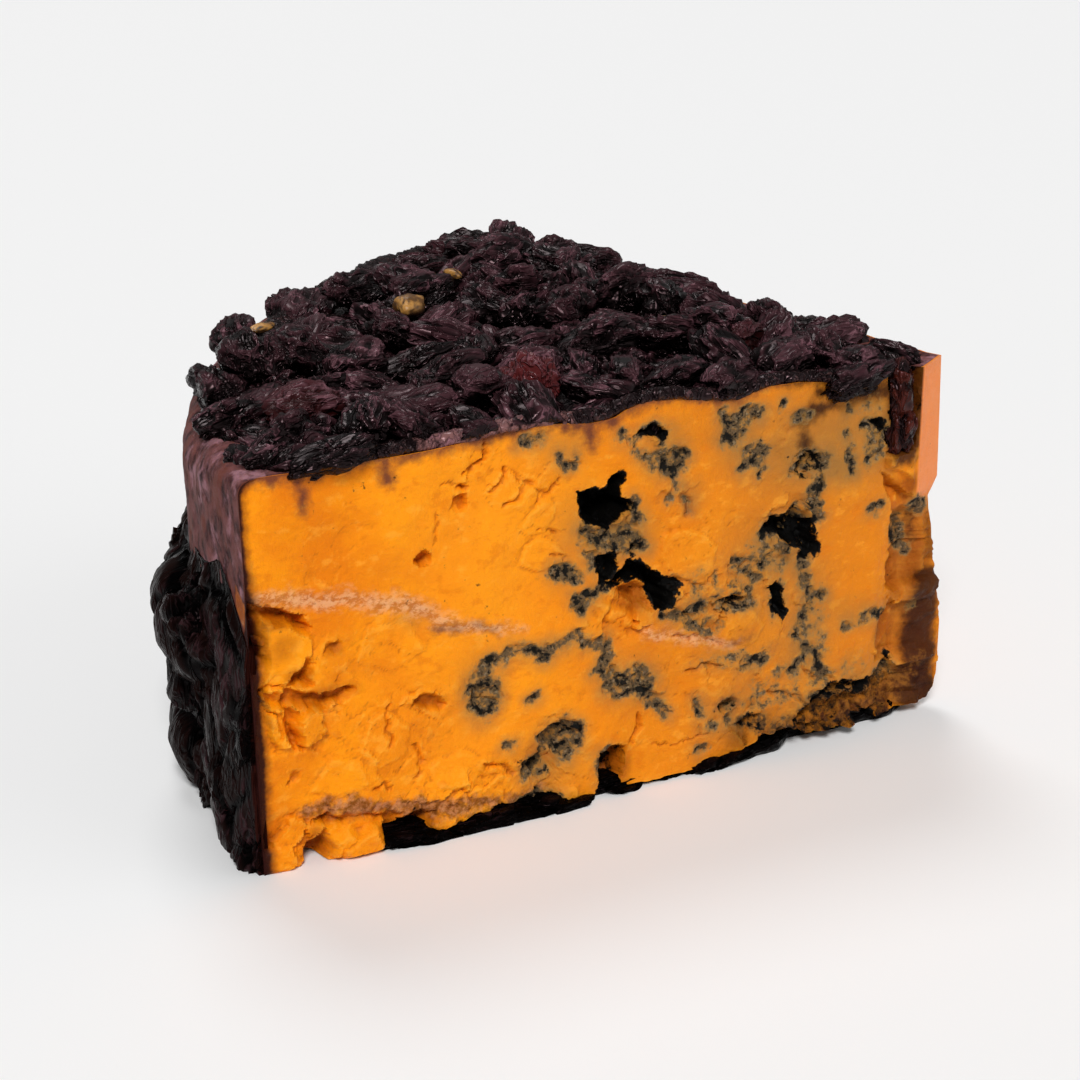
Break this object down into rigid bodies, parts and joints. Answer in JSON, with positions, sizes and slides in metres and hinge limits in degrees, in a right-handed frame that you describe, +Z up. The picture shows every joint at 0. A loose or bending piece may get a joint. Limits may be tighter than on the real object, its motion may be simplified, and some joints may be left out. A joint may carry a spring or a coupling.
{
  "type": "blue cheese wedge",
  "caption": "Wedge of orange blue-veined cheese with a wine-dark rind, coated on the top, side and base with raisins.",
  "frame": {"origin": "middle of the wedge's outer box in plan, on the surface it stands on", "axes": "+Z up, +X along the front cut face from the rind to the tip, +Y from the front cut face towards the back"},
  "size_m": [0.1657, 0.1503, 0.09],
  "materials": {
    "paste": "satin, moist crumbly cheese with blue veins",
    "top_raisins": "wrinkled skin with a soft sheen",
    "side_raisins": "wrinkled skin, pressed flat",
    "base_raisins": "pressed, moist",
    "tip_raisins": "wrinkled skin with a soft sheen"
  },
  "bodies": {
    "root": {"paste": "paste", "top_raisins": "top_raisins", "side_raisins": "side_raisins", "base_raisins": "base_raisins", "tip_raisins": "tip_raisins"}
  },
  "joints": []
}
